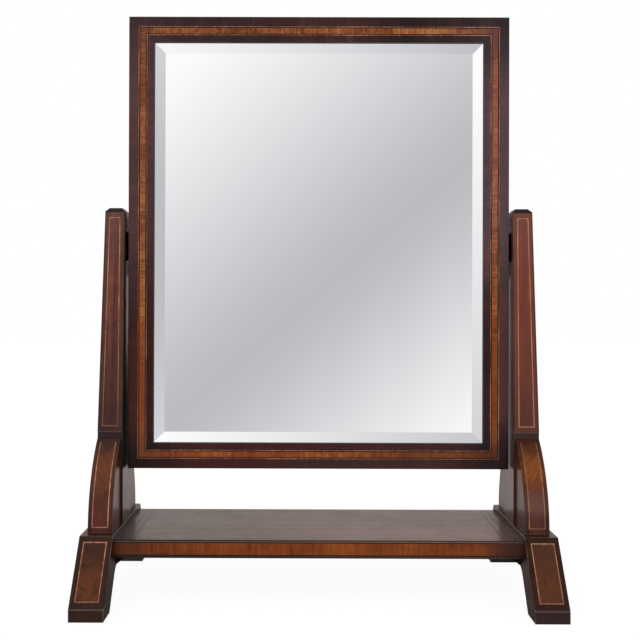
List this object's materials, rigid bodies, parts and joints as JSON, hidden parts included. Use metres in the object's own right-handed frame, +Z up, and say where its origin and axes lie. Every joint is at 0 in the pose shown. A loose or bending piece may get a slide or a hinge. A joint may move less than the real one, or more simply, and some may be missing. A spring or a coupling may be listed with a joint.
{
  "type": "dressing table mirror",
  "caption": "Free-standing swing mirror: a bevelled plate in an inlaid mahogany frame that tilts between two tapered posts on sledge feet joined by a shelf.",
  "frame": {"origin": "on the surface the mirror stands on, at the middle of the stand's width and depth", "axes": "+X to the right seen from the front, +Y to the back, +Z up; the plate faces -Y"},
  "size_m": [0.5026, 0.244, 0.6435],
  "materials": {
    "mahogany": "French-polished dark mahogany",
    "satinwood": "polished satinwood crossbanding",
    "boxwood": "polished boxwood line",
    "ebony": "polished ebonised line",
    "brass": "old darkened brass",
    "mirror_plate": "silvered bevelled plate glass",
    "pine": "bare aged pine",
    "beech": "bare beech",
    "maple": "stained hardwood keys",
    "leather": "oiled leather"
  },
  "bodies": {
    "stand": {"bracket_dowels": "beech", "left_bracket_stringing": "boxwood", "left_foot_stringing": "boxwood", "left_front_bracket": "mahogany", "left_post": "mahogany", "left_post_cap": "ebony", "left_post_plate": "brass", "left_post_stringing": "boxwood", "left_rear_bracket": "mahogany", "left_sledge_foot": "mahogany", "post_plate_screws": "brass", "right_bracket_stringing": "boxwood", "right_foot_stringing": "boxwood", "right_front_bracket": "mahogany", "right_post": "mahogany", "right_post_cap": "ebony", "right_post_plate": "brass", "right_post_stringing": "boxwood", "right_rear_bracket": "mahogany", "right_sledge_foot": "mahogany", "shelf_board": "mahogany", "shelf_dowels": "beech", "shelf_edge_lines": "ebony", "shelf_glue_blocks": "pine", "shelf_satinwood_band": "satinwood", "shelf_top_lines": "ebony"},
    "mirror": {"frame_top_rail": "mahogany", "frame_bottom_rail": "mahogany", "frame_left_stile": "mahogany", "frame_right_stile": "mahogany", "outer_boxwood_line": "boxwood", "outer_ebony_line": "ebony", "satinwood_band": "satinwood", "inner_ebony_line": "ebony", "inner_boxwood_line": "boxwood", "left_frame_plate": "brass", "right_frame_plate": "brass", "frame_plate_screws": "brass", "friction_washers": "leather", "mitre_keys": "maple", "mirror_glass": "mirror_plate", "glazing_blocks": "pine", "backboard": "pine", "backboard_screws": "brass"}
  },
  "joints": [
    {"name": "mirror_tilt", "type": "hinge", "parent": "stand", "child": "mirror", "pos_m": [0, 0, 0.38475], "axis": [1, 0, 0], "continuous": true}
  ]
}
